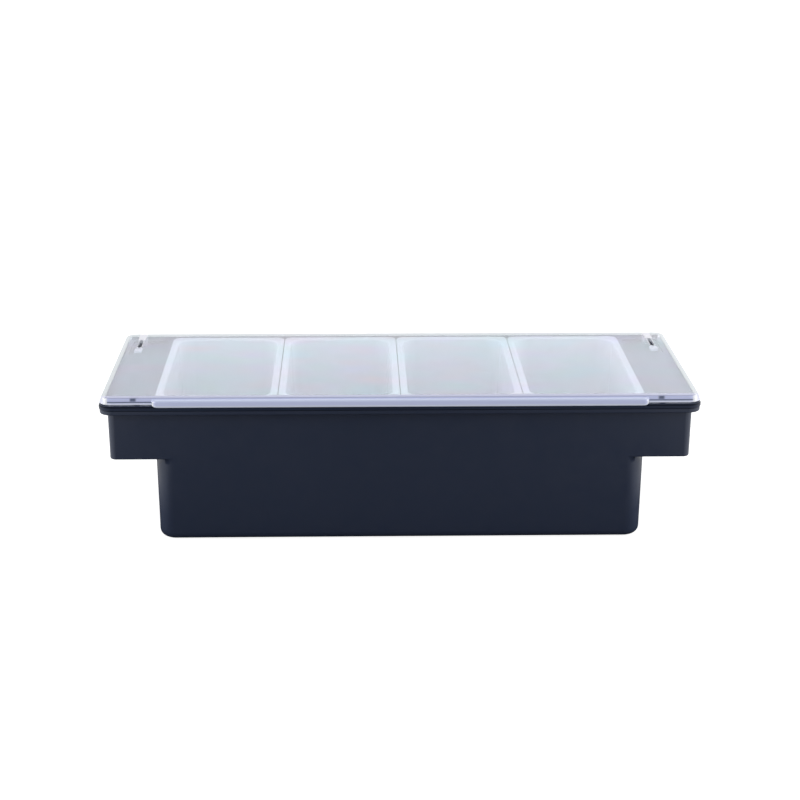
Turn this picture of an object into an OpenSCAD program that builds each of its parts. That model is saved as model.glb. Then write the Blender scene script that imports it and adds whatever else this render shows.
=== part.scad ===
// Bar condiment caddy: a T-shaped moulded tray with a down-turned rim and two hollow side
// wings, four lift-out inserts hanging by their flanges, and one clear flip lid on two pins.
// Origin: middle of the underside. X runs along the tray, the front faces -Y, Z is up.

/* [Inserts] */
// Width of one insert over its flange
insert_width = 80.7; // [70:0.1:95]
// Gap between the flanges of two neighbours
insert_gap = 0.8; // [0.4:0.1:2]
// Height of an insert from its underside to the top of its flange
insert_height = 78; // [60:1:86]
// Width of the flange beside the wall, on the long sides
insert_side_flange = 3.1; // [2.5:0.1:5]
// Width of the flange beside the wall, at the front and the back
insert_flange = 5; // [4:0.5:7]
// Thickness of the flange
insert_flange_thick = 1.8; // [1.4:0.1:2.2]
// Plan radius of the flange's corners
insert_flange_corner = 6; // [4:0.5:8]
// Thickness of the walls and the floor
insert_wall = 1.7; // [1.4:0.1:2.4]
// Plan radius of the wall's corners, outside, just under the flange
insert_corner = 13; // [12:0.5:16]
// Radius between the walls and the floor, outside
insert_fillet = 8; // [4:0.5:9]
// Taper of the walls, in degrees
insert_draft = 2; // [1:0.25:3]
// Rounding of the mouth's inner edge
insert_mouth_round = 1.2; // [0.6:0.1:1.6]

/* [Tray] */
// Height of the rim's top face over the table
tray_height = 96.6; // [90:0.1:120]
// Depth of the tub inside the rim, front to back
tub_depth = 144.8; // [130:0.2:170]
// Room between the outer inserts' walls and the tub's end walls
tub_end_room = 1.7; // [1:0.1:4]
// Room between the inserts' walls and the tub's front and back
tub_side_room = 1.9; // [1:0.1:3]
// How far each side wing reaches past the tub
wing_reach = 29.7; // [22:0.1:40]
// Height of the wings, from the rim's top face down
wing_height = 39; // [30:0.2:50]
// Wall thickness
tray_wall = 2.8; // [2.2:0.1:3.4]
// Taper of the outer walls, in degrees
tray_draft = 0.9; // [0.5:0.1:1.5]
// Plan radius of the tub's corners, outside, at rim height
tub_corner = 13; // [10:0.5:18]
// Plan radius of the wings' corners, outside, at rim height
wing_corner = 5; // [4.5:0.5:8]
// Radius between the tub's walls and its underside
tub_fillet = 5.5; // [4:0.5:7]
// Rounding of the wings' lower outer edge
wing_round = 1.2; // [0.5:0.1:1.6]
// Thickness of the deck that closes each wing on top
deck_thick = 2.6; // [2.2:0.1:3.2]
// Length of the hinge recess in each deck, front to back
recess_length = 35; // [28:0.5:45]
// Depth of the hinge recess in each deck
recess_depth = 1.2; // [0.6:0.1:1.6]
// Edge of the deck left beside the hinge recess
recess_edge = 1.8; // [1.5:0.1:4]

/* [Rim] */
// How far the rim stands out from the walls
rim_reach = 5.3; // [5:0.1:8]
// Height of the rim's outer face
rim_height = 6.4; // [5.5:0.1:9]
// Thickness of the rim's top
rim_thick = 2.6; // [2:0.1:3.2]
// Thickness of the rim's down-turned edge
rim_edge = 2.3; // [1.8:0.1:2.8]
// Plan radius of the rim's corners
rim_corner = 9; // [8.5:0.5:12]
// Rounding of the rim's lower outer edge
rim_round_low = 0.8; // [0.4:0.1:1.5]
// Height of the bead along the rim's upper outer face
bead_height = 3.4; // [2.5:0.1:4]
// How far the face under the bead lies behind it
bead_step = 0.5; // [0.3:0.1:0.8]
// Rounding of the rim's upper outer edge
rim_round_high = 1.2; // [0.5:0.1:2]
// Thickness of the rib along the back of the rim, behind the inserts
rib_thick = 2; // [1.6:0.1:2]
// Height of that rib
rib_height = 2.5; // [1:0.1:2.5]
// Distance from the rib's ends to the rim's ends
rib_end = 5; // [4:0.5:10]

/* [Lid] */
// Thickness of the lid's plate
lid_thick = 2; // [1.6:0.1:2.6]
// Height of the plate's underside over the rim's top face
lid_headroom = 3.3; // [2.6:0.1:4]
// How far the plate's top edge lies inside the rim's outer face
lid_inset = 2; // [1.5:0.1:2.5]
// How far the skirt leans out from the plate to its lower edge
skirt_flare = 1.5; // [0.5:0.1:1.5]
// Thickness of the skirt
skirt_wall = 2; // [1.6:0.1:2.4]
// Gap between the skirt's lower edge and the rim
skirt_gap = 1.1; // [0.8:0.1:1.6]
// Distance from the hinge axis to the back ends of the skirt
skirt_end = 6; // [6:0.5:12]
// Rounding of the plate's upper edge
lid_round = 1; // [0.5:0.1:1.4]
// Length of the finger lip along the front
lip_length = 327; // [200:1:350]
// How far the finger lip stands out past the rim
lip_reach = 2.3; // [1.5:0.1:5]
// Height of the lip's top under the plate's top
lip_step = 0.8; // [0.4:0.1:1.2]
// How far the lip hangs down past the skirt's lower edge
lip_drop = 1.5; // [1:0.1:2]
// Plan radius of the lip's ends
lip_corner = 3.5; // [3:0.5:4]
// Length of the window through the plate in front of each hinge lug
window_length = 18.5; // [10:0.5:24]
// Width of that window
window_width = 3; // [2:0.1:4]

/* [Hinge] */
// Distance from the hinge axis to the rim's outer back face
axis_inset = 4.7; // [4.5:0.1:5]
// Depth of the hinge axis under the rim's top face
axis_depth = 3; // [2.9:0.1:3.2]
// Distance from the middle of a hinge lug to the end of the rim
lug_inset = 14.2; // [13:0.1:18]
// Width of a hinge lug
lug_width = 5.4; // [4:0.1:7]
// Length of a hinge lug, front to back
lug_length = 15.5; // [12:0.5:18]
// Side play of a lug in its notch, each side
lug_play = 0.35; // [0.3:0.05:0.8]
// Depth of the short lug in front of the window, under the plate
front_lug_drop = 1.4; // [1:0.1:2.6]
// Length of that short lug
front_lug_length = 8; // [6:0.5:20]
// Diameter of a hinge pin
pin_d = 2.5; // [2:0.1:2.6]
// Length of a hinge pin
pin_length = 20; // [16:0.5:22]
// Radial clearance between a pin and its lug
pin_clearance = 0.05; // [0.03:0.01:0.08]
// Wall of the knuckle round the pin
knuckle_wall = 1.4; // [1.2:0.1:1.5]
// Angle at which the open lid rests on its stop, in degrees
open_angle = 105; // [100:1:115]

/* [Lid rests] */
// Diameter of a lid rest
rest_d = 3.6; // [3:0.1:3.8]
// Distance from a lid rest to the end of the rim
rest_inset = 25.5; // [20:0.5:28]
// Diameter of its stem
rest_stem_d = 1.8; // [1.4:0.1:2]
// Length of its stem
rest_stem = 2.2; // [1.5:0.1:3]

/* [Hidden] */

$fn = 96;
cut = 1;             // how far a cutting shape runs past what it cuts
bite = 0.4;          // how deep a rib or boss is sunk into the wall that carries it
seat_margin = 0.1;   // edge left round a lid rest

// Inserts
insert_pitch = insert_width + insert_gap;
flange_round_low = 0.3;
flange_round_high = 0.8;
insert_seat = insert_flange - tub_side_room;      // flange resting on the rim, front and back

// Tray, as half sizes at rim height
tub_x = 2 * insert_pitch - insert_gap / 2 - insert_side_flange + tub_end_room + tray_wall;
wall_y = tub_depth / 2 + tray_wall;
wing_x = tub_x + wing_reach;
wing_z = tray_height - wing_height;
rim_x = wing_x + rim_reach;
rim_y = wall_y + rim_reach;
rim_z = tray_height - rim_height;
bead_z = tray_height - bead_height;
bead_round = 0.6;                                  // rounding of the bead's lower edge
rib_room = 0.4;                                    // play between the rib and the flanges
rib_round = 0.4;
rib_corner = 0.8;

// Hinge
axis_y = rim_y - axis_inset;
axis_z = tray_height - axis_depth;
knuckle_r = pin_d / 2 + knuckle_wall;
lug_x = rim_x - lug_inset;
notch_width = lug_width + 2 * lug_play;
stop_z = axis_z - (knuckle_r - axis_inset * cos(open_angle)) / sin(open_angle);
stop_floor = 2.6;                                  // plastic under the stop
boss_edge = 1;                                     // plastic beside a pin's blind end
boss_z = stop_z - stop_floor;
boss_half = pin_length / 2 + boss_edge;
well_wall = 2;                                     // wall of the lug's well under the deck
pin_chamfer = 0.3;

// Lid
plate_z = tray_height + lid_headroom;
lid_top = plate_z + lid_thick;
lid_corner = rim_corner - lid_inset;
skirt_z = tray_height + skirt_gap;
back_y = axis_y + knuckle_r;                       // the plate's back edge and the lugs' backs
lug_front = back_y - lug_length;
window_edge = 1.5;                                 // plate left between a lug and its window
window_back = lug_front - window_edge;
front_lug_back = window_back - window_length;
front_lug_front = front_lug_back - front_lug_length;
lip_half = 10;                                     // half depth of the lip's block
lip_gap = 0.4;                                     // room between the lip and the rim's bead
lip_round_low = 0.8;
lip_round_high = 1.4;

// Hinge recess in each deck
deck_z = tray_height - deck_thick;                 // underside of the deck
recess_corner = 2;
recess_x = (wing_x - tub_x) / 2 - recess_edge;
recess_y = recess_length / 2;
recess_at = [(wing_x + tub_x) / 2, tub_depth / 2 - recess_y, 0];

// Lid rests
rest_x = rim_x - rest_inset;
rest_y = -(tub_depth / 2 + seat_margin + rest_d / 2);

// ---------------------------------------------------------------- building blocks

// Half section of a wall that runs from (r_low, z_low) to (r_high, z_high), with its lower
// and upper edges rounded. The circles are tangent to the sloping wall.
module wall_section(r_low, r_high, z_low, z_high, round_low = 0, round_high = 0) {
    slope = (r_high - r_low) / (z_high - z_low);
    tilt = atan(slope);
    low_c = [r_low + slope * round_low - round_low / cos(tilt), z_low + round_low];
    high_c = [r_high - slope * round_high - round_high / cos(tilt), z_high - round_high];
    low_t = low_c + round_low * [cos(tilt), -sin(tilt)];
    high_t = high_c + round_high * [cos(tilt), -sin(tilt)];
    polygon([[0, z_low], [low_c[0], z_low], low_t, high_t, [high_c[0], z_high], [0, z_high]]);
    if (round_low > 0) intersection() {
        translate(low_c) circle(round_low);
        translate([low_c[0], z_low]) square([2 * round_low, max(low_t[1], low_c[1]) - z_low]);
    }
    if (round_high > 0) intersection() {
        translate(high_c) circle(round_high);
        translate([high_c[0], min(high_t[1], high_c[1])])
            square([2 * round_high, z_high - min(high_t[1], high_c[1])]);
    }
}

// Carries a half section round a rectangle of half sizes x and y, measured at the radius
// "corner". The corners are revolves and the sides are extrusions of the same section, so
// a tapered wall flows round its corners without a seam.
module carry_round(x, y, corner, z_low, z_high) {
    cx = x - corner;
    cy = y - corner;
    for (sx = [-1, 1], sy = [-1, 1])
        translate([sx * cx, sy * cy, 0]) rotate_extrude() children();
    rotate([90, 0, 0]) linear_extrude(height = 2 * cy, center = true)
        full_section(cx, z_low, z_high) children();
    rotate([90, 0, 90]) linear_extrude(height = 2 * cx, center = true)
        full_section(cy, z_low, z_high) children();
}

// A half section at both ends of a rectangle that is 2 * half wide
module full_section(half, z_low, z_high) {
    for (side = [0, 1]) mirror([side, 0]) translate([half, 0]) children();
    translate([-half, z_low]) square([2 * half, z_high - z_low]);
}

// A tapered block with rounded corners: x, y and corner are its sizes at height z_ref.
module tapered_block(x, y, corner, z_ref, z_low, z_high, taper, round_low = 0, round_high = 0) {
    carry_round(x, y, corner, z_low, z_high)
        wall_section(corner - (z_ref - z_low) * tan(taper), corner + (z_high - z_ref) * tan(taper),
                     z_low, z_high, round_low, round_high);
}

// Its children, and their mirror image at the other end of the tray
module both_ends() {
    children();
    mirror([1, 0, 0]) children();
}

// ---------------------------------------------------------------- tray

module tub_block(inset, floor_z, top_z, fillet) {
    tapered_block(tub_x - inset, wall_y - inset, tub_corner - inset, tray_height,
                  floor_z, top_z, tray_draft, fillet);
}

module wing_block(inset, floor_z, top_z, fillet) {
    tapered_block(wing_x - inset, wall_y - inset, wing_corner - inset, tray_height,
                  floor_z, top_z, tray_draft, fillet);
}

module rim_block(inset, low_z, top_z, round_low = 0, round_high = 0) {
    tapered_block(rim_x - inset, rim_y - inset, rim_corner - inset, tray_height,
                  low_z, top_z, 0, round_low, round_high);
}

// Space under a wing's deck, outside the tub and open below
module wing_hollow() {
    difference() {
        wing_block(tray_wall, wing_z - cut, deck_z, 0);
        tub_block(0, wing_z - 2 * cut, tray_height, 0);
    }
}

// The hinge recess in a deck, grown by an edge all round
module recess_block(edge, low_z, top_z) {
    translate(recess_at)
        tapered_block(recess_x + edge, recess_y + edge, recess_corner + edge, tray_height,
                      low_z, top_z, 0);
}

// What hangs under a deck: the recess's floor and the well for the long lug
module deck_underside() {
    well_half = notch_width / 2 + well_wall;
    well_front = lug_front - lug_play - well_wall;
    intersection() {
        wing_block(tray_wall - bite, boss_z, tray_height, 0);
        union() {
            recess_block(recess_edge, deck_z - recess_depth, deck_z + bite);
            translate([lug_x - well_half, well_front, boss_z])
                cube([2 * well_half, wall_y - well_front, deck_z + bite - boss_z]);
        }
    }
}

// Block under the back rim that carries a pin's bore and the lid's stop
module hinge_boss() {
    back = wall_y - tray_wall / 2;
    intersection() {
        translate([lug_x - boss_half, 0, 0]) rotate([90, 0, 90])
            linear_extrude(height = 2 * boss_half)
                polygon([[back, tray_height - bite], [rim_y, tray_height - bite],
                         [rim_y, boss_z], [back, boss_z - (rim_y - back)]]);
        rim_block(0, boss_z - rim_y, tray_height);
    }
}

// Rib that keeps the inserts' flanges from sliding back
module back_rib() {
    half = rib_thick / 2;
    translate([0, tub_depth / 2 + insert_seat + rib_room + half, 0])
        tapered_block(rim_x - rib_end, half, rib_corner, tray_height,
                      tray_height - bite, tray_height + rib_height, 0, 0, rib_round);
}

// Notch for a lug, with the stop as its floor, and the bore for its pin
module hinge_cuts() {
    front = lug_front - lug_play;
    translate([lug_x - notch_width / 2, front, stop_z])
        cube([notch_width, rim_y + cut - front, tray_height + rib_height + cut - stop_z]);
    translate([lug_x - pin_length / 2, axis_y, axis_z]) rotate([0, 90, 0])
        cylinder(d = pin_d, h = rim_x);
}

module tray() {
    color([0.10, 0.11, 0.15]) difference() {
        union() {
            difference() {
                union() {
                    rim_block(0, bead_z, tray_height, bead_round, rim_round_high);
                    rim_block(bead_step, rim_z, bead_z + bead_round + bite, rim_round_low);
                }
                rim_block(rim_edge, rim_z - cut, tray_height - rim_thick);
            }
            tub_block(0, 0, tray_height, tub_fillet);
            difference() {
                wing_block(0, wing_z, tray_height, wing_round);
                wing_hollow();
            }
            both_ends() deck_underside();
            both_ends() hinge_boss();
            back_rib();
        }
        tub_block(tray_wall, tray_wall, tray_height + cut, tub_fillet - tray_wall);
        both_ends() recess_block(0, tray_height - recess_depth, tray_height + cut);
        both_ends() hinge_cuts();
        both_ends() translate([rest_x, rest_y, tray_height - rest_stem - seat_margin])
            cylinder(d = rest_stem_d, h = rest_stem + seat_margin + cut);
    }
}

// ---------------------------------------------------------------- inserts

// One insert, centred on x = 0 and hanging by its flange on the rim's top face
module insert() {
    flange_top = tray_height + insert_flange_thick;
    floor_z = flange_top - insert_height;
    wall_x = insert_width / 2 - insert_side_flange;
    wall_half = tub_depth / 2 - tub_side_room;
    color([0.93, 0.94, 0.95]) difference() {
        union() {
            tapered_block(insert_width / 2, tub_depth / 2 + insert_seat, insert_flange_corner,
                          tray_height, tray_height, flange_top, 0,
                          flange_round_low, flange_round_high);
            tapered_block(wall_x, wall_half, insert_corner, tray_height,
                          floor_z, tray_height + bite, insert_draft, insert_fillet);
        }
        tapered_block(wall_x - insert_wall, wall_half - insert_wall, insert_corner - insert_wall,
                      tray_height, floor_z + insert_wall, flange_top + cut, insert_draft,
                      insert_fillet - insert_wall);
        insert_mouth(wall_x - insert_wall, wall_half - insert_wall, insert_corner - insert_wall,
                     flange_top);
    }
}

// Cutter that rounds the inner edge of a mouth of half sizes x and y
module insert_mouth(x, y, corner, top_z) {
    z_low = top_z - insert_mouth_round;
    carry_round(x, y, corner, z_low, top_z + cut)
        difference() {
            translate([0, z_low]) square([corner + insert_mouth_round, insert_mouth_round + cut]);
            translate([corner + insert_mouth_round, z_low]) circle(insert_mouth_round);
        }
}

// Insert number 1 to 4, from left to right
module insert_at(number) {
    translate([(number - 2.5) * insert_pitch, 0, 0]) insert();
}

// ---------------------------------------------------------------- lid

// Outside of the plate and skirt, or its inside when inset by the skirt's thickness
module lid_block(inset, low_z, top_z, round_high = 0) {
    skirt_height = lid_top - skirt_z;
    flare = atan(skirt_flare / skirt_height);
    tapered_block(rim_x - lid_inset - inset, rim_y - lid_inset - inset, lid_corner - inset,
                  lid_top, low_z, top_z, -flare, 0, round_high);
}

// Side view of a hinge lug: a web that slopes down to the knuckle and is flush at the back
module lug_section() {
    toe = [lug_front, plate_z - front_lug_drop];
    centre = [axis_y, axis_z];
    reach = norm(centre - toe);
    dip = atan2(toe[1] - axis_z, axis_y - toe[0]) + asin(knuckle_r / reach);
    tangent = toe + sqrt(reach * reach - knuckle_r * knuckle_r) * [cos(dip), -sin(dip)];
    translate(centre) circle(knuckle_r);
    polygon([[lug_front, plate_z + bite], toe, tangent, centre, [back_y, axis_z],
             [back_y, plate_z + bite]]);
}

module hinge_lugs() {
    translate([lug_x - lug_width / 2, 0, 0]) {
        rotate([90, 0, 90]) linear_extrude(height = lug_width) lug_section();
        translate([0, front_lug_front, plate_z - front_lug_drop])
            cube([lug_width, front_lug_length, front_lug_drop + bite]);
    }
}

// Slot with round ends through the plate, between the two lugs
module hinge_window() {
    r = window_width / 2;
    translate([lug_x, 0, plate_z - cut]) linear_extrude(height = lid_thick + 2 * cut) {
        translate([-r, front_lug_back + r]) square([window_width, window_length - window_width]);
        translate([0, front_lug_back + r]) circle(r);
        translate([0, window_back - r]) circle(r);
    }
}

// Ledge along the front edge for the fingers, which hangs down in front of the bead
module finger_lip() {
    difference() {
        translate([0, lip_half - rim_y - lip_reach, 0])
            tapered_block(lip_length / 2, lip_half, lip_corner, lid_top, skirt_z - lip_drop,
                          lid_top - lip_step, 0, lip_round_low, lip_round_high);
        rim_block(-lip_gap, bead_z, skirt_z);
    }
}

module lid() {
    color([0.80, 0.84, 0.92, 0.45]) difference() {
        union() {
            difference() {
                union() {
                    lid_block(0, skirt_z, lid_top, lid_round);
                    finger_lip();
                }
                lid_block(skirt_wall, skirt_z - cut, plate_z);
                // The skirt stops ahead of the hinge axis, and the plate's back edge is straight
                translate([-rim_x, axis_y - skirt_end, skirt_z - cut])
                    cube([2 * rim_x, rim_y, plate_z - skirt_z + cut]);
                translate([-rim_x, back_y, skirt_z - cut]) cube([2 * rim_x, rim_y, lid_top]);
            }
            both_ends() hinge_lugs();
        }
        both_ends() hinge_window();
        both_ends() translate([lug_x - lug_width, axis_y, axis_z]) rotate([0, 90, 0])
            cylinder(r = pin_d / 2 + pin_clearance, h = 2 * lug_width);
    }
}

// ---------------------------------------------------------------- small parts

module hinge_pin() {
    color("silver") translate([lug_x - pin_length / 2, axis_y, axis_z]) rotate([0, 90, 0]) {
        cylinder(d1 = pin_d - 2 * pin_chamfer, d2 = pin_d, h = pin_chamfer);
        translate([0, 0, pin_chamfer]) cylinder(d = pin_d, h = pin_length - 2 * pin_chamfer);
        translate([0, 0, pin_length - pin_chamfer])
            cylinder(d1 = pin_d, d2 = pin_d - 2 * pin_chamfer, h = pin_chamfer);
    }
}

// Soft button on the rim that the closed lid lands on
module lid_rest() {
    color([0.12, 0.13, 0.18]) translate([rest_x, rest_y, tray_height]) {
        cylinder(d = rest_d, h = lid_headroom);
        translate([0, 0, -rest_stem]) cylinder(d = rest_stem_d, h = rest_stem + bite);
    }
}

tray();
insert_at(1);  // insert_1
insert_at(2);  // insert_2
insert_at(3);  // insert_3
insert_at(4);  // insert_4
lid();
mirror([1, 0, 0]) hinge_pin();  // hinge_pin_left
hinge_pin();  // hinge_pin_right
mirror([1, 0, 0]) lid_rest();  // lid_rest_left
lid_rest();  // lid_rest_right
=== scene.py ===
"""Bar condiment caddy with a clear flip lid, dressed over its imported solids.

Lengths are in metres. X runs along the tray, the front faces -Y and Z is up.
"""

import logging
import math
from dataclasses import dataclass
from enum import Enum
from typing import Callable, Optional, Sequence, Union

import bmesh
import bpy
import numpy as np
from mathutils import Matrix, Vector


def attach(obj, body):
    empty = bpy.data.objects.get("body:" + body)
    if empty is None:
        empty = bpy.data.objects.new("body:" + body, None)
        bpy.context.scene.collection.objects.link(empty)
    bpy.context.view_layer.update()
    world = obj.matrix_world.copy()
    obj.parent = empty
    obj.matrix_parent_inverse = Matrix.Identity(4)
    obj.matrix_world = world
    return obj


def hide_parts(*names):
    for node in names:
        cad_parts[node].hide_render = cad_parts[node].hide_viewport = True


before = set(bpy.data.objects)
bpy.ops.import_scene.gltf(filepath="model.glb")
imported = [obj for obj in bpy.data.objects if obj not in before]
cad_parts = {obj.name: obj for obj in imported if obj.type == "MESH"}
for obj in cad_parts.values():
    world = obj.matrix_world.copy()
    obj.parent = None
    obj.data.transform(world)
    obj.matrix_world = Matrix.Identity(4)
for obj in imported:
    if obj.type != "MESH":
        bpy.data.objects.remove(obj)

LOG = logging.getLogger("caddy")
MM = 0.001
Colour = tuple[float, float, float]
Socket = bpy.types.NodeSocket
Value = Union[float, Colour, Sequence[float], Socket]


# ---------------------------------------------------------------- node graphs


# Where most values of a noise lie
NOISE_RANGE = (0.3, 0.7)


@dataclass(frozen=True)
class Noise:
    """A noise pattern.

    Attributes:
        cells: Cells to the metre.
        detail: Octaves of finer noise.
        stretch: Scale along each axis.
    """

    cells: float
    detail: float = 2.0
    stretch: tuple[float, float, float] = (1.0, 1.0, 1.0)


class Graph:
    """Builds the node tree of a material or of the world, socket by socket."""

    def __init__(self, owner: Union[bpy.types.Material, bpy.types.World]) -> None:
        """Start an empty tree.

        Args:
            owner: The material or world that the tree belongs to.
        """
        owner.use_nodes = True
        self.owner = owner
        self.tree = owner.node_tree
        self.tree.nodes.clear()

    def node(self, kind: str, settings: Optional[dict] = None, **inputs: Value) -> bpy.types.Node:
        """Add a node and fill or link its inputs.

        Args:
            kind: Blender's identifier of the node.
            settings: Attributes of the node itself.
            **inputs: Socket names, with underscores for blanks, or in0, in1 for places.

        Returns:
            The new node.
        """
        made = self.tree.nodes.new(kind)
        for key, value in (settings or {}).items():
            setattr(made, key, value)
        for key, value in inputs.items():
            place = key[2:]
            name = int(place) if key.startswith("in") and place.isdigit() else key.replace("_", " ")
            self.feed(made.inputs[name], value)
        return made

    def feed(self, socket: Socket, value: Value) -> None:
        """Link a socket to another, or set its own value.

        Args:
            socket: The input socket.
            value: The output socket to link, or the value to set.
        """
        if isinstance(value, Socket):
            self.tree.links.new(value, socket)
        elif socket.type == "RGBA" and len(value) == 3:
            socket.default_value = (*value, 1.0)
        else:
            socket.default_value = value

    def maths(self, operation: str, *values: Value) -> Socket:
        """Add a Math node.

        Args:
            operation: Blender's name of the operation.
            *values: Its operands.

        Returns:
            The result.
        """
        made = self.node("ShaderNodeMath", {"operation": operation})
        for socket, value in zip(made.inputs, values):
            self.feed(socket, value)
        return made.outputs[0]

    def times(self, first: Value, *others: Value) -> Value:
        """Multiply some values.

        Args:
            first: The first factor.
            *others: The other factors.

        Returns:
            The product.
        """
        for other in others:
            first = self.maths("MULTIPLY", first, other)
        return first

    def most(self, first: Value, *others: Value) -> Value:
        """Pick the largest of some values.

        Args:
            first: The first value.
            *others: The other values.

        Returns:
            The largest.
        """
        for other in others:
            first = self.maths("MAXIMUM", first, other)
        return first

    def remap(self, value: Value, source: Sequence[float], target: Sequence[float]) -> Socket:
        """Return a value carried in a straight line from one range to another.

        Args:
            value: The value, which stops at the ends of its range.
            source: Its lowest and highest value.
            target: What these become.

        Returns:
            The value in its new range.
        """
        made = self.node(
            "ShaderNodeMapRange",
            Value=value,
            From_Min=source[0],
            From_Max=source[1],
            To_Min=target[0],
            To_Max=target[1],
        )
        return made.outputs["Result"]

    def ramp_up(self, value: Value, low: float, high: float) -> Socket:
        """Carry a value over to a smooth step.

        Args:
            value: The value.
            low: Where the step begins.
            high: Where it ends.

        Returns:
            0 below the step and 1 above it.
        """
        smooth = {"interpolation_type": "SMOOTHSTEP"}
        made = self.node("ShaderNodeMapRange", smooth, Value=value, From_Min=low, From_Max=high)
        return made.outputs["Result"]

    def band(self, value: Value, low: float, high: float, border: float) -> Socket:
        """Tell whether a value lies in a range.

        Args:
            value: The value.
            low: Lowest value of the range.
            high: Highest value of the range.
            border: Width of the soft borders outside it.

        Returns:
            1 in the range and 0 beyond the borders.
        """
        rise = self.ramp_up(value, low - border, low)
        fall = self.ramp_up(value, high, high + border)
        return self.maths("SUBTRACT", rise, fall)

    def place(self) -> Socket:
        """Return the point's place on the object, in metres."""
        return self.node("ShaderNodeTexCoord").outputs["Object"]

    def split(self, vector: Socket) -> Sequence[Socket]:
        """Return the three parts of a vector."""
        return self.node("ShaderNodeSeparateXYZ", Vector=vector).outputs

    def noise(self, pattern: Noise) -> Socket:
        """Return a noise over the object.

        Args:
            pattern: Kind of noise.

        Returns:
            The noise's value, about 0.5 on average.
        """
        place = self.node("ShaderNodeMapping", Vector=self.place(), Scale=pattern.stretch)
        made = self.node(
            "ShaderNodeTexNoise",
            Vector=place.outputs[0],
            Scale=pattern.cells,
            Detail=pattern.detail,
        )
        return made.outputs[0]

    def spread(self, value: Value, low: float, high: float) -> Socket:
        """Return a noise value carried from its usual range over to low to high."""
        return self.remap(value, NOISE_RANGE, (low, high))

    def blend(self, share: Value, first: Value, second: Value) -> Socket:
        """Return a colour between two others."""
        made = self.node("ShaderNodeMix", {"data_type": "RGBA"}, in0=share, in6=first, in7=second)
        return made.outputs[2]

    def tinted(self, colour: Value, tone: Value) -> Socket:
        """Return a colour times a tone."""
        made = self.node("ShaderNodeVectorMath", {"operation": "SCALE"}, in0=colour, Scale=tone)
        return made.outputs[0]

    def bump(self, height: Value, depth: float) -> Socket:
        """Return the normal of a surface raised by height times depth, in metres."""
        made = self.node("ShaderNodeBump", Height=height, Distance=depth, Strength=1.0)
        return made.outputs[0]

    def mix(self, share: Value, first: bpy.types.Node, second: bpy.types.Node) -> bpy.types.Node:
        """Mix two shaders.

        Args:
            share: Share of the second one.
            first: The first shader's node.
            second: The second shader's node.

        Returns:
            The node of the mix.
        """
        return self.node(
            "ShaderNodeMixShader", in0=share, in1=first.outputs[0], in2=second.outputs[0]
        )

    def finish(self, shader: bpy.types.Node) -> bpy.types.Material:
        """Link the shader to the material's output and return the material."""
        self.node("ShaderNodeOutputMaterial", Surface=shader.outputs[0])
        return self.owner


# ---------------------------------------------------------------- finishes


@dataclass(frozen=True)
class ShadeRing:
    """A level band round a moulding, painted darker and with a weaker reflection where shade falls.

    Attributes:
        low: Lowest point.
        high: Highest point.
        tone: Its colour as a share of the moulding's.
        shine: Its specular level as a share of the moulding's.
    """

    low: float
    high: float
    tone: float
    shine: float


@dataclass(frozen=True)
class SatinMoulding:
    """Opaque moulded plastic with a fine grain, faint handling marks and flow shading.

    Attributes:
        name: Name of the material.
        colour: Colour of the plastic.
        shade: Colour of its slightly duller patches.
        roughness: Lowest and highest roughness.
        grain: Pattern of the moulded grain.
        depth: Depth of that grain.
        specular: Specular level of the surface.
        rings: Bands of painted shade round the piece.
        ring_border: Width of their soft borders.
        patches: Pattern of the duller patches.
        marks: Pattern of the handling marks.
    """

    name: str
    colour: Colour
    shade: Colour
    roughness: tuple[float, float]
    grain: Noise
    depth: float
    specular: float = 0.5
    rings: tuple[ShadeRing, ...] = ()
    ring_border: float = 0.0002
    patches: Noise = Noise(11.0, 3.0)
    marks: Noise = Noise(140.0, 4.0)

    def material(self) -> bpy.types.Material:
        """Make the plastic.

        Returns:
            The new material.
        """
        graph = Graph(bpy.data.materials.new(self.name))
        patches = graph.spread(graph.noise(self.patches), 0.0, 1.0)
        marks = graph.spread(graph.noise(self.marks), *self.roughness)
        colour, shine = graph.blend(patches, self.colour, self.shade), self.specular
        height = graph.split(graph.place())[2]
        # Each ring paints shade: it darkens the colour and weakens the reflection in its band
        for ring in self.rings:
            inside = graph.band(height, ring.low, ring.high, self.ring_border)
            tone = graph.maths("MULTIPLY_ADD", inside, ring.tone - 1.0, 1.0)
            colour = graph.tinted(colour, tone)
            loss = graph.maths("MULTIPLY_ADD", inside, ring.shine - 1.0, 1.0)
            shine = graph.times(shine, loss)
        body = graph.node(
            "ShaderNodeBsdfPrincipled",
            Base_Color=colour,
            Roughness=marks,
            Normal=graph.bump(graph.noise(self.grain), self.depth),
            Specular_IOR_Level=shine,
        )
        return graph.finish(body)


@dataclass(frozen=True)
class DrawnSteel:
    """Bright drawn wire, with its fine lines along X.

    Attributes:
        name: Name of the material.
        colour: Colour of the metal.
        shade: Colour in the drawn lines.
        roughness: Lowest and highest roughness.
        lines: Pattern of the drawn lines.
        depth: Depth of these lines.
    """

    name: str
    colour: Colour
    shade: Colour
    roughness: tuple[float, float] = (0.2, 0.36)
    lines: Noise = Noise(6000.0, stretch=(0.02, 1.0, 1.0))
    depth: float = 0.000004

    def material(self) -> bpy.types.Material:
        """Make the steel.

        Returns:
            The new material.
        """
        graph = Graph(bpy.data.materials.new(self.name))
        lines = graph.noise(self.lines)
        metal = graph.node(
            "ShaderNodeBsdfPrincipled",
            Base_Color=graph.blend(lines, self.colour, self.shade),
            Metallic=1.0,
            Roughness=graph.spread(lines, *self.roughness),
            Normal=graph.bump(lines, self.depth),
        )
        return graph.finish(metal)


class Along(Enum):
    """Directions in which an area of the lid is bounded."""

    RIGHT = "right"
    OUT = "out"
    AHEAD = "ahead"
    BACK = "back"
    UP = "up"


# End of a span that has no bound on that side
FAR = 1.0


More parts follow.
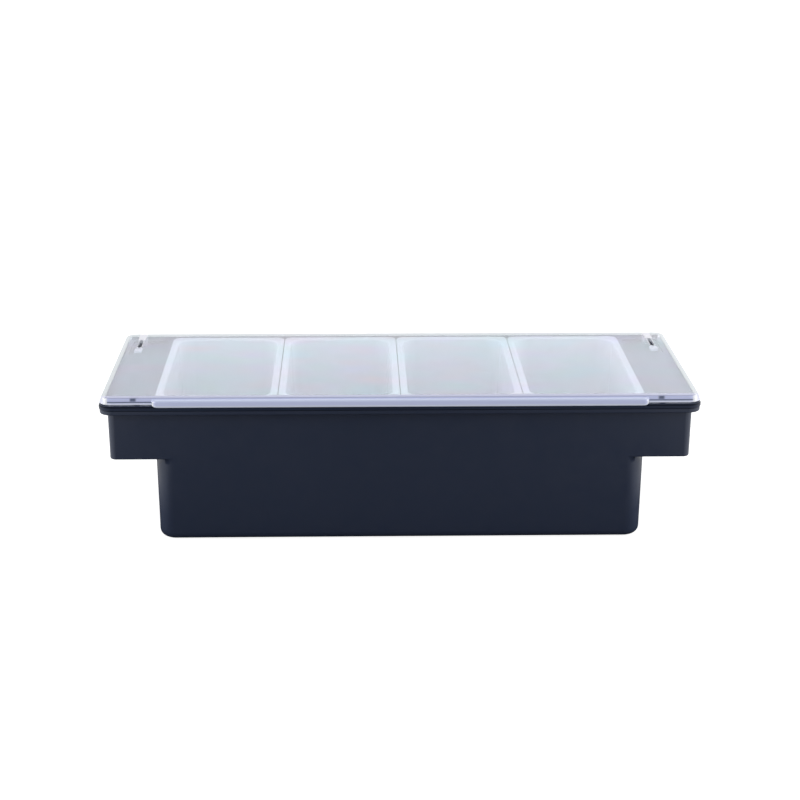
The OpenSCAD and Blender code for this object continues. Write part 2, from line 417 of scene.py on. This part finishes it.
@dataclass(frozen=True)
class Span:
    """A stretch along one direction, with a soft border outside each end.

    Attributes:
        along: Its direction, where OUT is the distance from the middle to either side.
        low: Where it begins.
        high: Where it ends.
        border: Width of the borders.
    """

    along: Along
    low: float
    high: float
    border: float


# The finger lip is what stands ahead of the skirt
ON_LIP = Span(Along.AHEAD, 0.0811, FAR, 0.0003)
# Height of the painted shade where the lid rests show through the skirt
REST_HEIGHT = Span(Along.UP, 0.1001, 0.1013, 0.0007)
# Areas of the lid, each as the spans that bound it
LID_AREAS: dict[str, tuple[Span, ...]] = {
    # Edges of the plate, beyond its flat part
    "side": (Span(Along.OUT, 0.1946, FAR, 0.0012),),
    "front": (Span(Along.AHEAD, 0.0737, FAR, 0.0009),),
    "back": (Span(Along.BACK, 0.0722, FAR, 0.0010),),
    # Hinge lugs under the plate, their tops, and the slots in front of them
    "lug": (Span(Along.BACK, 0.0010, FAR, 0.0010), Span(Along.UP, 0.0, 0.0995, 0.0002)),
    "pad": (Span(Along.OUT, 0.1822, 0.1874, 0.0003), Span(Along.BACK, 0.0632, FAR, 0.0005)),
    "slot": (Span(Along.OUT, 0.1830, 0.1866, 0.0001), Span(Along.BACK, 0.0427, 0.0617, 0.0001)),
    # Finger lip, its ends and its lower edge, which get painted highlights, and its upper edge
    "lip": (ON_LIP,),
    "lip_end": (ON_LIP, Span(Along.OUT, 0.1623, FAR, 0.0008)),
    "lip_top": (ON_LIP, Span(Along.UP, 0.1006, FAR, 0.0004)),
    "lit_lip_foot": (ON_LIP, Span(Along.UP, 0.0, 0.0974, 0.0004)),
    # Skirt: its upper edge and the dark line under the plate, both painted shade, its foot with a
    # painted highlight, and a glint at each corner
    "shaded_crease": (Span(Along.UP, 0.1017, FAR, 0.0003),),
    "line": (Span(Along.UP, 0.0989, 0.0995, 0.0002),),
    "foot": (Span(Along.UP, 0.0, 0.0985, 0.0002),),
    "glint": (Span(Along.OUT, 0.1930, 0.1946, 0.0010), Span(Along.UP, 0.0, 0.1013, 0.0006)),
    # Painted shade where the lid rests show through the skirt
    "left_rest": (Span(Along.RIGHT, -0.1766, -0.1746, 0.0018), REST_HEIGHT),
    "right_rest": (Span(Along.RIGHT, 0.1706, 0.1726, 0.0018), REST_HEIGHT),
}


@dataclass(frozen=True)
class ClearMoulding:
    """Clear moulded plastic: mirror-like and see-through on its faces, milky at its edges.

    The milky share stands for the light that runs inside the plate and leaves it by its
    edges.

    Attributes:
        name: Name of the material.
        areas: Named areas of the piece, each as the spans that bound it.
        body: Colour of the front skirt and the lip.
        shaded_crease: Colour of the plate's top along its front edge, painted darker as shade.
        lip_top: Colour of the lip's top.
        lit_lip_foot: Colour of the lip's lower edge, a painted highlight.
        foot: Colour of the skirt's lower edge, a painted highlight.
        corner: Colour of the skirt round the corners.
        lug: Colour of the hinge lugs.
        shadow: Colour of the line where the plate's underside meets the skirt and of the rests seen
            through it, both painted shade.
        side: Colour of the bands at the sides and the back.
        bright: Colour where light leaves: the lip's ends and a glint beside each corner.
        dull: Colour of the walls of the slots in front of the lugs.
        passed: Tint of the light that passes to what lies below.
        scattered: Colour of the light that the faces scatter.
        stress: Four faint colours of moulding stress, which run into each other.
        stress_noises: The two patterns that blend them.
        haze: Lowest and highest share of the faces' light that is scattered.
        haze_noise: Pattern of that haze.
        milk: Share of the light that the front edge scatters.
        band_milk: The same for the side bands.
        back_milk: The same for the back band and the lugs' tops.
        edge_roughness: Lowest and highest roughness of the edges.
        edge_noise: Pattern of that roughness.
        ior: Index of refraction.
    """

    name: str
    areas: dict[str, tuple[Span, ...]]
    body: Colour
    shaded_crease: Colour
    lip_top: Colour
    lit_lip_foot: Colour
    foot: Colour
    corner: Colour
    lug: Colour
    shadow: Colour
    side: Colour
    bright: Colour
    dull: Colour
    passed: Colour
    scattered: Colour
    stress: tuple[Colour, Colour, Colour, Colour]
    stress_noises: tuple[Noise, Noise] = (
        Noise(21.0, 0.8, (1.0, 1.5, 1.0)),
        Noise(29.0, 0.8, (1.2, 1.3, 1.0)),
    )
    haze: tuple[float, float] = (0.024, 0.036)
    haze_noise: Noise = Noise(60.0, 3.0)
    milk: float = 0.90
    band_milk: float = 0.90
    back_milk: float = 0.72
    edge_roughness: tuple[float, float] = (0.08, 0.20)
    edge_noise: Noise = Noise(220.0)
    ior: float = 1.49

    def material(self) -> bpy.types.Material:
        """Make the plastic, which lets shadow and scattered rays pass unbent.

        Returns:
            The new material.
        """
        graph = Graph(bpy.data.materials.new(self.name))
        zone = self.zones(graph)
        edge = self.milky_edge(graph, zone)
        seen = graph.mix(self.edge_share(graph, zone), self.clear_face(graph), edge)
        rays = graph.node("ShaderNodeLightPath").outputs
        soft = graph.most(rays["Is Shadow Ray"], rays["Is Diffuse Ray"])
        passed = graph.node("ShaderNodeBsdfTransparent", Color=self.passed)
        return graph.finish(graph.mix(soft, seen, passed))

    def clear_face(self, graph: Graph) -> bpy.types.Node:
        """Return the shader of the flat faces, with the faint colours of moulding stress.

        Args:
            graph: The material's nodes.

        Returns:
            The shader's node.
        """
        first, second = (
            graph.spread(graph.noise(pattern), 0.0, 1.0) for pattern in self.stress_noises
        )
        low = graph.blend(first, *self.stress[:2])
        high = graph.blend(first, *self.stress[2:])
        colour = graph.blend(second, low, high)
        face = graph.node("ShaderNodeBsdfGlass", Color=colour, Roughness=0.0, IOR=self.ior)
        scatter = graph.node("ShaderNodeBsdfDiffuse", Color=self.scattered)
        haze = graph.spread(graph.noise(self.haze_noise), *self.haze)
        return graph.mix(haze, face, scatter)

    def zones(self, graph: Graph) -> dict[str, Socket]:
        """Tell in which areas a point lies.

        Args:
            graph: The material's nodes.

        Returns:
            One mask for each area, by its name: 1 inside and 0 outside.
        """
        x, y, z = graph.split(graph.place())
        measured = {
            Along.RIGHT: x,
            Along.OUT: graph.maths("ABSOLUTE", x),
            Along.AHEAD: graph.maths("MULTIPLY", y, -1.0),
            Along.BACK: y,
            Along.UP: z,
        }
        return {
            name: graph.times(
                *(
                    graph.band(measured[span.along], span.low, span.high, span.border)
                    for span in spans
                )
            )
            for name, spans in self.areas.items()
        }

    def edge_share(self, graph: Graph, zone: dict[str, Socket]) -> Socket:
        """Tell how milky a point is: very beside the plate's flat area and below it.

        Args:
            graph: The material's nodes.
            zone: Masks of the areas.

        Returns:
            The share of the light that is scattered.
        """
        return graph.most(
            graph.times(zone["side"], self.band_milk),
            graph.times(graph.most(zone["back"], zone["pad"]), self.back_milk),
            graph.times(graph.most(zone["front"], zone["lug"], zone["slot"]), self.milk),
        )

    def milky_edge(self, graph: Graph, zone: dict[str, Socket]) -> bpy.types.Node:
        """Return the shader of the skirt, the lip, the lugs and the bands.

        Args:
            graph: The material's nodes.
            zone: Masks of the areas.

        Returns:
            The shader's node.
        """
        # Among the layers, painted shade falls on the crease, the dark line and the rests, and
        # painted highlights on the skirt's foot, the lip's foot, the lip's ends and the glints
        plain = graph.maths("SUBTRACT", 1.0, zone["lip"])
        rests = graph.most(zone["left_rest"], zone["right_rest"])
        layers = (
            (zone["shaded_crease"], self.shaded_crease),
            (graph.times(plain, rests), self.shadow),
            (graph.times(plain, zone["line"]), self.shadow),
            (graph.times(plain, zone["foot"]), self.foot),
            (zone["lip_top"], self.lip_top),
            (zone["lit_lip_foot"], self.lit_lip_foot),
            (zone["side"], self.corner),
            (graph.most(zone["glint"], zone["lip_end"]), self.bright),
        )
        front: Value = self.body
        for share, colour in layers:
            front = graph.blend(share, front, colour)
        behind = graph.blend(graph.most(zone["lug"], zone["pad"]), self.side, self.lug)
        behind = graph.blend(zone["slot"], behind, self.dull)
        return graph.node(
            "ShaderNodeBsdfPrincipled",
            Base_Color=graph.blend(zone["front"], behind, front),
            Roughness=graph.spread(graph.noise(self.edge_noise), *self.edge_roughness),
        )


TRAY_FINISH = SatinMoulding(
    name="navy_black_moulding",
    colour=(0.0200, 0.0300, 0.0620),
    shade=(0.0220, 0.0320, 0.0650),
    roughness=(0.30, 0.40),
    grain=Noise(2600.0, 1.0),
    depth=0.000010,
    # Painted shade round the rim: the gap under its bead, the bead's face under the lid's lip, and
    # the lid's shadow along the bead's top
    rings=(
        ShadeRing(low=0.0931, high=0.0935, tone=0.30, shine=0.15),
        ShadeRing(low=0.0938, high=0.0953, tone=0.80, shine=0.45),
        ShadeRing(low=0.0955, high=0.0962, tone=0.30, shine=0.15),
    ),
)
INSERT_FINISH = SatinMoulding(
    name="milky_white_moulding",
    colour=(0.80, 0.83, 0.86),
    shade=(0.78, 0.81, 0.85),
    roughness=(0.14, 0.24),
    grain=Noise(1800.0, 1.0),
    depth=0.000006,
)
REST_FINISH = SatinMoulding(
    name="soft_rubber",
    colour=(0.020, 0.026, 0.048),
    shade=(0.030, 0.036, 0.060),
    roughness=(0.55, 0.75),
    grain=Noise(3200.0, 1.0),
    depth=0.000020,
)
PIN_FINISH = DrawnSteel(
    name="drawn_steel", colour=(0.62, 0.63, 0.65), shade=(0.496, 0.504, 0.520)
)
LID_FINISH = ClearMoulding(
    name="clear_moulding",
    areas=LID_AREAS,
    body=(0.66, 0.71, 1.0),
    shaded_crease=(0.36, 0.38, 0.58),
    lip_top=(0.66, 0.73, 0.96),
    lit_lip_foot=(0.78, 0.84, 1.0),
    foot=(0.80, 0.84, 1.0),
    corner=(0.70, 0.72, 0.86),
    lug=(0.86, 0.85, 0.95),
    shadow=(0.14, 0.17, 0.27),
    side=(0.60, 0.65, 0.68),
    bright=(0.93, 0.95, 1.0),
    dull=(0.70, 0.72, 0.78),
    passed=(0.93, 0.94, 0.95),
    scattered=(0.90, 0.92, 0.98),
    stress=(
        (0.838, 0.900, 0.943),
        (0.900, 0.878, 0.913),
        (0.852, 0.903, 0.920),
        (0.872, 0.876, 0.955),
    ),
)


# ---------------------------------------------------------------- meshes


# Largest angle between faces that still shades smoothly, in degrees
CRISP_ANGLE = 28.0
# Points closer than this are one, and faces that bend less than this angle are one
WELD = 0.002 * MM
FLAT_ANGLE = 0.05


def add_piece(name: str, mesh: bpy.types.Mesh) -> bpy.types.Object:
    """Put a mesh into the scene with smooth faces and crisp corners.

    Args:
        name: Name of the piece.
        mesh: Its finished mesh.

    Returns:
        The new object, at the origin.
    """
    piece = bpy.data.objects.new(name, mesh)
    bpy.context.scene.collection.objects.link(piece)
    mesh.shade_smooth()
    mesh.set_sharp_from_angle(angle=math.radians(CRISP_ANGLE))
    even = piece.modifiers.new("even_normals", "WEIGHTED_NORMAL")
    even.keep_sharp = True
    even.mode = "FACE_AREA_WITH_ANGLE"
    return piece


def merged_copy(
    node: str, name: str, refine: Optional[Callable[[bmesh.types.BMesh], None]] = None
) -> bpy.types.Object:
    """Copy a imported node's mesh, join its loose triangles and shade it smoothly.

    Args:
        node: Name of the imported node.
        name: Name of the new piece.
        refine: Function that reworks the copy, if it needs that.

    Returns:
        The new piece, which stands for the node.
    """
    work = bmesh.new()
    work.from_mesh(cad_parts[node].data)
    bmesh.ops.remove_doubles(work, verts=work.verts, dist=WELD)
    bmesh.ops.dissolve_limit(
        work, angle_limit=math.radians(FLAT_ANGLE), verts=work.verts, edges=work.edges
    )
    if refine:
        refine(work)
    mesh = bpy.data.meshes.new(name)
    work.to_mesh(mesh)
    work.free()
    return add_piece(name, mesh)


def arc(
    centre: tuple[float, float], radius: float, first: float, last: float, steps: int
) -> np.ndarray:
    """Points on an arc: centre + radius * (cos a, sin a), a going from first to last.

    Args:
        centre: Middle of the circle.
        radius: Its radius.
        first: First angle in degrees.
        last: Last angle in degrees.
        steps: Number of steps between them.

    Returns:
        An array of steps + 1 rows of two.
    """
    angle = np.radians(np.linspace(first, last, steps + 1))
    return np.array(centre) + radius * np.stack([np.cos(angle), np.sin(angle)], 1)


def ring_loft(rows: np.ndarray, steps: int) -> tuple[np.ndarray, np.ndarray, list]:
    """Carry a profile round rounded rectangles, one for each row.

    A row (cx, cy, r, z) gives the ring of points at height z that lie r from the nearest of
    the four corner centres (+-cx, +-cy): centre(a) + r * (cos a, sin a), where a goes once
    round and centre(a) is the corner of a's quarter.

    Args:
        rows: One row for each ring.
        steps: Steps in each quarter turn.

    Returns:
        The points, the quads between neighbouring rings, and the two end faces.
    """
    quarter = np.arange(4)[:, None] * 90.0
    angle = np.radians(quarter + np.linspace(0.0, 90.0, steps + 1)[None, :]).ravel()
    sign_x = np.repeat([1.0, -1.0, -1.0, 1.0], steps + 1)
    sign_y = np.repeat([1.0, 1.0, -1.0, -1.0], steps + 1)
    cx, cy, r, z = (rows[:, i : i + 1] for i in range(4))
    points = np.stack(
        [
            cx * sign_x + r * np.cos(angle),
            cy * sign_y + r * np.sin(angle),
            np.broadcast_to(z, (len(rows), len(angle))),
        ],
        2,
    )
    around = len(angle)
    ring, step = np.meshgrid(np.arange(len(rows) - 1), np.arange(around), indexing="ij")
    here, there = ring * around + step, ring * around + (step + 1) % around
    quads = np.stack([here, there, there + around, here + around], 2).reshape(-1, 4)
    last = (len(rows) - 1) * around
    ends = [list(range(around))[::-1], list(range(last, last + around))]
    return points.reshape(-1, 3), quads, ends


# ---------------------------------------------------------------- the caddy's parts


@dataclass
class Tray:
    """The navy-black tray: tub, wings, rim, decks and hinge wells in one moulding.

    Attributes:
        finish: Finish of the tray.
    """

    finish: SatinMoulding = TRAY_FINISH

    def build(self) -> None:
        """Dress the tray."""
        shell = merged_copy("tray", "tray_shell")
        shell.data.materials.append(self.finish.material())
        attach(shell, "base")
        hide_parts("tray")
        LOG.info("tray_shell: %d faces", len(shell.data.polygons))


INSERT_COUNT = 4


@dataclass
class Insert:
    """One white insert that hangs in the tray by its flange.

    Attributes:
        number: Its place from the left, from 1 on.
        material: Its material.
        pitch: Distance from one insert to the next.
        rim_z: Height of the tray's rim, on which the flange rests.
        height: Height of the insert.
        flange_x: Half the flange's width.
        flange_y: Half the flange's length.
        flange_corner: Plan radius of the flange's corners.
        flange_thick: Thickness of the flange.
        flange_rounds: Rounding of the flange's lower and upper edge.
        wall_x: Half the outer width at the height of the rim.
        wall_y: Half the outer length at the height of the rim.
        wall_corner: Plan radius of the outer corners at that height.
        wall: Thickness of the walls and the floor.
        fillet: Outer radius between the walls and the floor.
        mouth_round: Rounding of the mouth's inner edge.
        draft: Taper of the walls, in degrees.
        corner_steps: Steps in each corner of the plan.
        fillet_steps: Steps in the fillet.
        flange_steps: Steps in the flange's lower and upper rounding.
        mouth_steps: Steps in the mouth's rounding.
    """

    number: int
    material: bpy.types.Material
    pitch: float = 81.5 * MM
    rim_z: float = 96.6 * MM
    height: float = 78.0 * MM
    flange_x: float = 40.50 * MM
    flange_y: float = 75.5 * MM
    flange_corner: float = 6.0 * MM
    flange_thick: float = 1.8 * MM
    flange_rounds: tuple[float, float] = (0.3 * MM, 0.8 * MM)
    wall_x: float = 37.25 * MM
    wall_y: float = 70.5 * MM
    wall_corner: float = 13.0 * MM
    wall: float = 1.7 * MM
    fillet: float = 8.0 * MM
    mouth_round: float = 1.2 * MM
    draft: float = 2.0
    corner_steps: int = 20
    fillet_steps: int = 10
    flange_steps: tuple[int, int] = (3, 6)
    mouth_steps: int = 8

    def build(self) -> None:
        """Make the insert and hang it in its place."""
        points, quads, ends = ring_loft(self.profile(), self.corner_steps)
        points[:, 0] += (self.number - (INSERT_COUNT + 1) / 2) * self.pitch
        name = f"insert_{self.number}_tub"
        mesh = bpy.data.meshes.new(name)
        mesh.from_pydata(points.tolist(), [], quads.tolist() + ends)
        piece = add_piece(name, mesh)
        mesh.materials.append(self.material)
        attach(piece, f"insert_{self.number}")
        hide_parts(f"insert_{self.number}")
        LOG.info("%s: %d faces", name, len(mesh.polygons))

    def wall_rows(self, inset: float, floor: float) -> np.ndarray:
        """Profile of a drafted wall, from the floor's edge up to the rim's height.

        The wall's distance from the corner centre is corner - (rim height - z) * tan(draft),
        and an arc tangent to it and to the floor rounds its foot.

        Args:
            inset: Distance inside the outer wall.
            floor: Height of the floor.

        Returns:
            Rows of distance and height.
        """
        slope = math.tan(math.radians(self.draft))
        corner, fillet = self.wall_corner - inset, self.fillet - inset
        foot = corner - (self.rim_z - floor) * slope
        centre = (
            foot + slope * fillet - fillet / math.cos(math.radians(self.draft)),
            floor + fillet,
        )
        curve = arc(centre, fillet, -90.0, -self.draft, self.fillet_steps)
        return np.vstack([curve, [[corner, self.rim_z]]])

    def profile(self) -> np.ndarray:
        """Put the insert's profile together.

        Returns:
            Rows for ring_loft: outer wall, flange, mouth and inner wall.
        """
        top = self.rim_z + self.flange_thick
        floor = top - self.height
        low, high = self.flange_rounds
        low_steps, high_steps = self.flange_steps
        edge = self.flange_corner
        outer = self.wall_rows(0.0, floor)
        flange = np.vstack(
            [
                arc((edge - low, self.rim_z + low), low, -90.0, 0.0, low_steps),
                arc((edge - high, top - high), high, 0.0, 90.0, high_steps),
            ]
        )
        inner = self.wall_rows(self.wall, floor + self.wall)[::-1]
        lip = (self.wall_corner - self.wall + self.mouth_round, top - self.mouth_round)
        mouth = arc(lip, self.mouth_round, 90.0, 180.0, self.mouth_steps)
        walls = (self.wall_x - self.wall_corner, self.wall_y - self.wall_corner)
        rim = (self.flange_x - edge, self.flange_y - edge)
        parts = [(outer, walls), (flange, rim), (mouth, walls), (inner, walls)]
        return np.vstack(
            [np.hstack([np.tile(centre, (len(part), 1)), part]) for part, centre in parts]
        )


@dataclass
class Lid:
    """The clear lid with its skirt, finger lip and hinge lugs, in one moulding.

    Attributes:
        finish: Finish of the lid.
        skirt_y: Distance of the skirt's front face from the middle.
        slack: How far behind the skirt's face a face of the lip may reach.
        taper_x: Where the lip's tapers begin, from the middle.
        taper: Length of a taper.
        taper_cuts: Number of cuts across a taper.
        middle_z: Height that the tip keeps.
        rise: How far the lower edge rises to the tip.
        drop: How far the upper edge drops to the tip.
        cut_reach: Points that lie closer to a cut than this are on it.
    """

    finish: ClearMoulding = LID_FINISH
    skirt_y: float = 80.6 * MM
    slack: float = 0.2 * MM
    taper_x: float = 158.5 * MM
    taper: float = 5.0 * MM
    taper_cuts: int = 4
    middle_z: float = 98.6 * MM
    rise: float = 1.4 * MM
    drop: float = 2.0 * MM
    cut_reach: float = 0.001 * MM

    def build(self) -> None:
        """Dress the lid."""
        plate = merged_copy("lid", "lid_plate", self.taper_lip)
        plate.data.materials.append(self.finish.material())
        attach(plate, "lid")
        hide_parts("lid")
        LOG.info("lid_plate: %d faces", len(plate.data.polygons))

    def taper_lip(self, work: bmesh.types.BMesh) -> None:
        """Taper the finger lip's ends down to a rounded tip.

        A point t of the way along a taper moves towards the tip by (1 - sqrt(1 - t * t)) of
        the rise, if it lies below the middle, or of the drop, if it lies above.

        Args:
            work: The lid's mesh.
        """
        for side in (-1.0, 1.0):
            for step in range(self.taper_cuts):
                at = side * (self.taper_x + step * self.taper / (self.taper_cuts + 1))
                self.cut_lip(work, at)
        for vert in work.verts:
            along = min(1.0, (abs(vert.co.x) - self.taper_x) / self.taper)
            if vert.co.y < -self.skirt_y and along > 0.0:
                share = 1.0 - math.sqrt(1.0 - along * along)
                low = vert.co.z < self.middle_z
                vert.co.z += self.rise * share if low else -self.drop * share

    def cut_lip(self, work: bmesh.types.BMesh, at: float) -> None:
        """Cut the lip's faces across, so that they can bend there.

        Args:
            work: The lid's mesh.
            at: Place of the cut along X.
        """
        limit = self.slack - self.skirt_y
        lip = [face for face in work.faces if all(vert.co.y < limit for vert in face.verts)]
        bounds = dict.fromkeys(part for face in lip for part in (*face.edges, *face.verts))
        bmesh.ops.bisect_plane(
            work,
            geom=lip + list(bounds),
            dist=self.cut_reach,
            plane_co=(at, 0.0, 0.0),
            plane_no=(1.0, 0.0, 0.0),
        )


class Side(Enum):
    """The two ends of the hinge line."""

    LEFT = "left"
    RIGHT = "right"


@dataclass
class SmallParts:
    """The hinge pins and the lid rests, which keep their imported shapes.

    Attributes:
        pin_finish: Finish of the pins.
        rest_finish: Finish of the rests.
    """

    pin_finish: DrawnSteel = PIN_FINISH
    rest_finish: SatinMoulding = REST_FINISH

    def build(self) -> None:
        """Dress the pins and the rests."""
        steel, rubber = self.pin_finish.material(), self.rest_finish.material()
        for side in Side:
            self.dress(f"hinge_pin_{side.value}", steel, "pin_steel")
            self.dress(f"lid_rest_{side.value}", rubber, "rest_rubber")

    @staticmethod
    def dress(node: str, material: bpy.types.Material, slot: str) -> None:
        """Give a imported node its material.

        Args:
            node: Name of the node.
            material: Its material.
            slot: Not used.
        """
        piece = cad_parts[node]
        piece.data.materials.clear()
        piece.data.materials.append(material)
        LOG.info("%s dressed", node)


# ---------------------------------------------------------------- studio


@dataclass(frozen=True)
class Lamp:
    """A rectangular soft lamp that faces the caddy.

    Attributes:
        name: Name of the lamp.
        at: Its middle.
        size: Its width and height.
        watts: Its power.
    """

    name: str
    at: tuple[float, float, float]
    size: tuple[float, float]
    watts: float

    def hang(self, aim: tuple[float, float, float]) -> None:
        """Hang the lamp.

        Args:
            aim: The point that it faces.
        """
        data = bpy.data.lights.new(self.name, "AREA")
        data.shape = "RECTANGLE"
        data.size, data.size_y = self.size
        data.energy = self.watts
        lamp = bpy.data.objects.new(self.name, data)
        lamp.location = self.at
        ahead = Vector(aim) - Vector(self.at)
        lamp.rotation_euler = ahead.to_track_quat("-Z", "Y").to_euler()
        lamp.visible_camera = False
        bpy.context.scene.collection.objects.link(lamp)


LAMPS = (
    Lamp("backdrop_box", (0.0, 1.75, 0.80), (3.4, 1.1), 8.6),
    Lamp("overhead_box", (0.0, 0.35, 1.9), (1.8, 1.2), 1.5),
    Lamp("left_box", (-1.3, -0.10, 0.36), (1.0, 0.7), 8.0),
    Lamp("right_box", (1.3, -0.10, 0.36), (1.0, 0.7), 8.0),
)


@dataclass
class Studio:
    """Camera, pale floor, soft lamps and white surroundings.

    Attributes:
        eye: Place of the camera.
        pitch: How far it looks down, in degrees.
        yaw: How far it is turned to the right, in degrees.
        roll: How far it is rolled, in degrees.
        lens: Its focal length in millimetres.
        sensor: Width of its sensor in millimetres.
        clip: Nearest and farthest distance that it sees.
        lamps: The lamps.
        aim: The point that they face.
        level: Strength of the surroundings' soft light.
        room: Their strength in mirrors, behind the camera and ahead of it.
        room_y: Parts of a mirrored ray along Y between which that strength changes.
        right: What the right side adds to it.
        right_x: Parts of a mirrored ray along X between which it is added.
        floor_half: Half the floor's width.
        floor_z: Height of the floor.
        floor_tone: How pale the floor is.
        floor_mirrored: How pale it is in mirrors.
        floor_glow: Strength of its own light for the eye.
        glow_x: Distances from the middle between which it begins to glow in mirrors.
    """

    eye: tuple[float, float, float] = (-0.03043, -1.22200, 0.46106)
    pitch: float = 17.532
    yaw: float = 1.488
    roll: float = 0.164
    lens: float = 82.21
    sensor: float = 36.0
    clip: tuple[float, float] = (0.05, 50.0)
    lamps: tuple[Lamp, ...] = LAMPS
    aim: tuple[float, float, float] = (0.0, 0.0, 0.07)
    level: float = 0.60
    room: tuple[float, float] = (0.08, 0.80)
    room_y: tuple[float, float] = (-0.8, -0.2)
    right: float = 0.40
    right_x: tuple[float, float] = (0.11, 0.24)
    floor_half: float = 4.0
    floor_z: float = -0.0004
    floor_tone: float = 0.50
    floor_mirrored: float = 0.10
    floor_glow: float = 0.88
    glow_x: tuple[float, float] = (0.205, 0.285)

    def place_camera(self) -> None:
        """Put the camera at the eye, turned by yaw, pitch and roll."""
        pitch, yaw, roll = (math.radians(v) for v in (self.pitch, self.yaw, self.roll))
        ahead = Vector(
            (math.sin(yaw) * math.cos(pitch), math.cos(yaw) * math.cos(pitch), -math.sin(pitch))
        )
        right = Vector((math.cos(yaw), -math.sin(yaw), 0.0))
        up = right.cross(ahead)
        right_rolled = math.cos(roll) * right + math.sin(roll) * up
        up_rolled = math.cos(roll) * up - math.sin(roll) * right
        turn = Matrix((right_rolled, up_rolled, -ahead)).transposed().to_4x4()
        data = bpy.data.cameras.new("camera")
        data.lens, data.sensor_width = self.lens, self.sensor
        data.clip_start, data.clip_end = self.clip
        camera = bpy.data.objects.new("camera", data)
        camera.matrix_world = Matrix.Translation(self.eye) @ turn
        bpy.context.scene.collection.objects.link(camera)
        bpy.context.scene.camera = camera

    def floor_material(self) -> bpy.types.Material:
        """Make a pale matt surface that shows white.

        To the eye it glows everywhere, and in mirrors only away from the object.

        Returns:
            The material.
        """
        graph = Graph(bpy.data.materials.new("pale_floor"))
        rays = graph.node("ShaderNodeLightPath").outputs
        out = graph.maths("ABSOLUTE", graph.split(graph.place())[0])
        mirrored = graph.times(graph.ramp_up(out, *self.glow_x), rays["Is Glossy Ray"])
        seen = graph.most(rays["Is Camera Ray"], rays["Is Transmission Ray"])
        loss = self.floor_mirrored - self.floor_tone
        tone = graph.maths("MULTIPLY_ADD", rays["Is Glossy Ray"], loss, self.floor_tone)
        pale = graph.node("ShaderNodeBsdfDiffuse", Color=tone)
        strength = graph.most(mirrored, graph.times(seen, self.floor_glow))
        glow = graph.node("ShaderNodeEmission", Strength=strength)
        both = graph.node("ShaderNodeAddShader", in0=pale.outputs[0], in1=glow.outputs[0])
        material = graph.finish(both)
        material.cycles.emission_sampling = "NONE"
        return material

    def lay_floor(self) -> None:
        """Lay a pale floor that shows white to the eye and keeps the object's shadow."""
        half, z = self.floor_half, self.floor_z
        mesh = bpy.data.meshes.new("floor")
        corners = [(-half, -half, z), (half, -half, z), (half, half, z), (-half, half, z)]
        mesh.from_pydata(corners, [], [(0, 1, 2, 3)])
        mesh.materials.append(self.floor_material())
        floor = bpy.data.objects.new("floor", mesh)
        bpy.context.scene.collection.objects.link(floor)

    def light_world(self) -> None:
        """Surround the scene with soft light that shows white to the eye and through glass.

        Mirrors see white ahead of the camera and a dim room behind it.
        """
        world = bpy.data.worlds.new("studio")
        bpy.context.scene.world = world
        graph = Graph(world)
        rays = graph.node("ShaderNodeLightPath").outputs
        x, y, _ = graph.split(graph.node("ShaderNodeTexCoord").outputs["Generated"])
        room = graph.maths(
            "ADD",
            graph.remap(y, self.room_y, self.room),
            graph.remap(x, self.right_x, (0.0, self.right)),
        )
        tone = graph.node("ShaderNodeMix", in0=rays["Is Glossy Ray"], in2=self.level, in3=room)
        strength = graph.most(
            rays["Is Camera Ray"], rays["Is Transmission Ray"], tone.outputs[0]
        )
        shade = graph.node("ShaderNodeBackground", Color=(1.0, 1.0, 1.0), Strength=strength)
        graph.node("ShaderNodeOutputWorld", Surface=shade.outputs[0])

    def build(self) -> None:
        """Set up everything round the caddy."""
        self.lay_floor()
        self.light_world()
        for lamp in self.lamps:
            lamp.hang(self.aim)
        bpy.context.scene.view_settings.view_transform = "Standard"


# ---------------------------------------------------------------- all of it


def main() -> None:
    """Build the caddy and the studio in order."""
    logging.basicConfig(level=logging.INFO, format="%(name)s %(message)s")
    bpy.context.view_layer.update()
    studio = Studio()
    studio.place_camera()
    Tray().build()
    white = INSERT_FINISH.material()
    for number in range(1, INSERT_COUNT + 1):
        Insert(number, white).build()
    Lid().build()
    SmallParts().build()
    studio.build()


if __name__ == "__main__":
    main()
